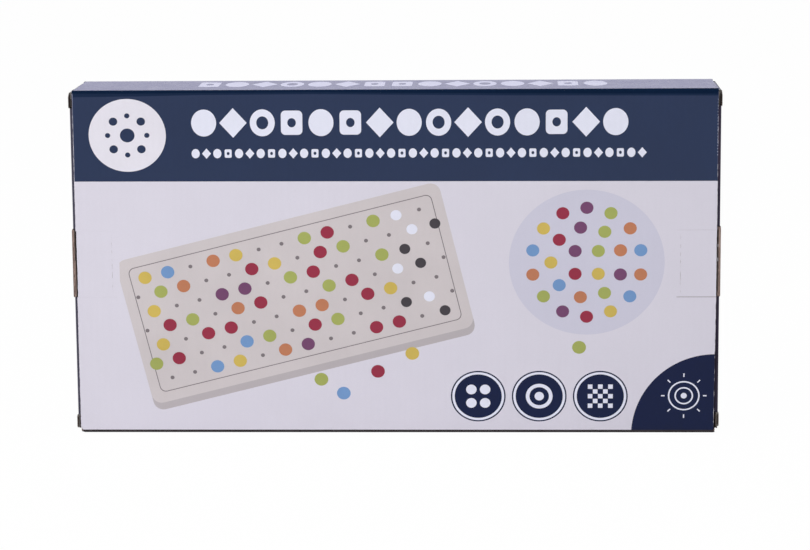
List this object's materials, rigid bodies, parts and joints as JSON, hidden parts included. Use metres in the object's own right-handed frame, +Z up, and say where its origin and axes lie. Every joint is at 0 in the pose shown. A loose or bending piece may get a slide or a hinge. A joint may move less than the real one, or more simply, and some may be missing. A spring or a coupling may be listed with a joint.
{
  "type": "boxed peg game",
  "caption": "Closed tuck-end carton of a code-breaking peg game: hinged end closures, dust flaps and lock tabs, with a drilled wooden board, bag of pegs and leaflet inside.",
  "frame": {"origin": "centre of the carton's footprint, on the surface it stands on", "axes": "+X to the right of the printed front, +Y from the printed front to the back, +Z up"},
  "size_m": [0.3176, 0.045, 0.1705],
  "materials": {
    "printed_board": "satin",
    "navy_board": "satin",
    "raw_board": "matte",
    "board_wood": "satin",
    "bag_cotton": "matte",
    "string_cotton": "matte",
    "leaflet_paper": "matte",
    "red_lacquer": "gloss",
    "yellow_lacquer": "gloss",
    "blue_lacquer": "gloss",
    "orange_lacquer": "gloss",
    "green_lacquer": "gloss",
    "purple_lacquer": "gloss",
    "black_lacquer": "gloss",
    "white_lacquer": "gloss"
  },
  "bodies": {
    "carton": {"carton_front_panel": "printed_board", "carton_back_panel": "printed_board", "carton_top_panel": "navy_board", "carton_bottom_panel": "navy_board", "carton_glue_flap": "raw_board", "playing_board": "board_wood", "drawstring_bag": "bag_cotton", "bag_drawstring": "string_cotton", "instruction_leaflet": "leaflet_paper", "code_peg_red_1": "red_lacquer", "code_peg_red_2": "red_lacquer", "code_peg_red_3": "red_lacquer", "code_peg_red_4": "red_lacquer", "code_peg_yellow_1": "yellow_lacquer", "code_peg_yellow_2": "yellow_lacquer", "code_peg_yellow_3": "yellow_lacquer", "code_peg_yellow_4": "yellow_lacquer", "code_peg_blue_1": "blue_lacquer", "code_peg_blue_2": "blue_lacquer", "code_peg_blue_3": "blue_lacquer", "code_peg_blue_4": "blue_lacquer", "code_peg_orange_1": "orange_lacquer", "code_peg_orange_2": "orange_lacquer", "code_peg_orange_3": "orange_lacquer", "code_peg_orange_4": "orange_lacquer", "code_peg_green_1": "green_lacquer", "code_peg_green_2": "green_lacquer", "code_peg_green_3": "green_lacquer", "code_peg_green_4": "green_lacquer", "code_peg_purple_1": "purple_lacquer", "code_peg_purple_2": "purple_lacquer", "code_peg_purple_3": "purple_lacquer", "code_peg_purple_4": "purple_lacquer", "key_peg_black_1": "black_lacquer", "key_peg_black_2": "black_lacquer", "key_peg_black_3": "black_lacquer", "key_peg_black_4": "black_lacquer", "key_peg_black_5": "black_lacquer", "key_peg_black_6": "black_lacquer", "key_peg_white_1": "white_lacquer", "key_peg_white_2": "white_lacquer", "key_peg_white_3": "white_lacquer", "key_peg_white_4": "white_lacquer", "key_peg_white_5": "white_lacquer", "key_peg_white_6": "white_lacquer"},
    "right_end_closure": {"right_end_closure": "navy_board"},
    "right_tuck_flap": {"right_tuck_flap": "raw_board"},
    "right_lock_tab": {"right_lock_tab": "printed_board"},
    "right_upper_dust_flap": {"right_upper_dust_flap": "raw_board"},
    "right_lower_dust_flap": {"right_lower_dust_flap": "raw_board"},
    "left_end_closure": {"left_end_closure": "navy_board"},
    "left_tuck_flap": {"left_tuck_flap": "raw_board"},
    "left_lock_tab": {"left_lock_tab": "printed_board"},
    "left_upper_dust_flap": {"left_upper_dust_flap": "raw_board"},
    "left_lower_dust_flap": {"left_lower_dust_flap": "raw_board"}
  },
  "joints": [
    {"name": "right_closure_hinge", "type": "hinge", "parent": "carton", "child": "right_end_closure", "pos_m": [0.1573, 0.021, 0.08522], "axis": [0, 0, 1], "range_deg": [0, 160]},
    {"name": "right_tuck_crease", "type": "hinge", "parent": "right_end_closure", "child": "right_tuck_flap", "pos_m": [0.1573, -0.0192, 0.08522], "axis": [0, 0, -1], "range_deg": [-12, 42]},
    {"name": "right_lock_tab_crease", "type": "hinge", "parent": "carton", "child": "right_lock_tab", "pos_m": [0.1375, -0.021, 0.08372], "axis": [0, 0, 1], "range_deg": [0, 14]},
    {"name": "right_upper_dust_crease", "type": "hinge", "parent": "carton", "child": "right_upper_dust_flap", "pos_m": [0.1555, 0, 0.16895], "axis": [0, -1, 0], "range_deg": [0, 80]},
    {"name": "right_lower_dust_crease", "type": "hinge", "parent": "carton", "child": "right_lower_dust_flap", "pos_m": [0.1555, 0, 0.0015], "axis": [0, 1, 0], "range_deg": [0, 80]},
    {"name": "left_closure_hinge", "type": "hinge", "parent": "carton", "child": "left_end_closure", "pos_m": [-0.1573, 0.021, 0.08522], "axis": [0, 0, -1], "range_deg": [0, 160]},
    {"name": "left_tuck_crease", "type": "hinge", "parent": "left_end_closure", "child": "left_tuck_flap", "pos_m": [-0.1573, -0.0192, 0.08522], "axis": [0, 0, 1], "range_deg": [-12, 42]},
    {"name": "left_lock_tab_crease", "type": "hinge", "parent": "carton", "child": "left_lock_tab", "pos_m": [-0.1375, -0.021, 0.08372], "axis": [0, 0, -1], "range_deg": [0, 14]},
    {"name": "left_upper_dust_crease", "type": "hinge", "parent": "carton", "child": "left_upper_dust_flap", "pos_m": [-0.1555, 0, 0.16895], "axis": [0, 1, 0], "range_deg": [0, 80]},
    {"name": "left_lower_dust_crease", "type": "hinge", "parent": "carton", "child": "left_lower_dust_flap", "pos_m": [-0.1555, 0, 0.0015], "axis": [0, -1, 0], "range_deg": [0, 80]}
  ],
  "couplings": [
    {"joint": "right_upper_dust_crease", "follows": "right_closure_hinge", "ratio": 0.5},
    {"joint": "right_lower_dust_crease", "follows": "right_closure_hinge", "ratio": 0.5},
    {"joint": "left_upper_dust_crease", "follows": "left_closure_hinge", "ratio": 0.5},
    {"joint": "left_lower_dust_crease", "follows": "left_closure_hinge", "ratio": 0.5}
  ]
}
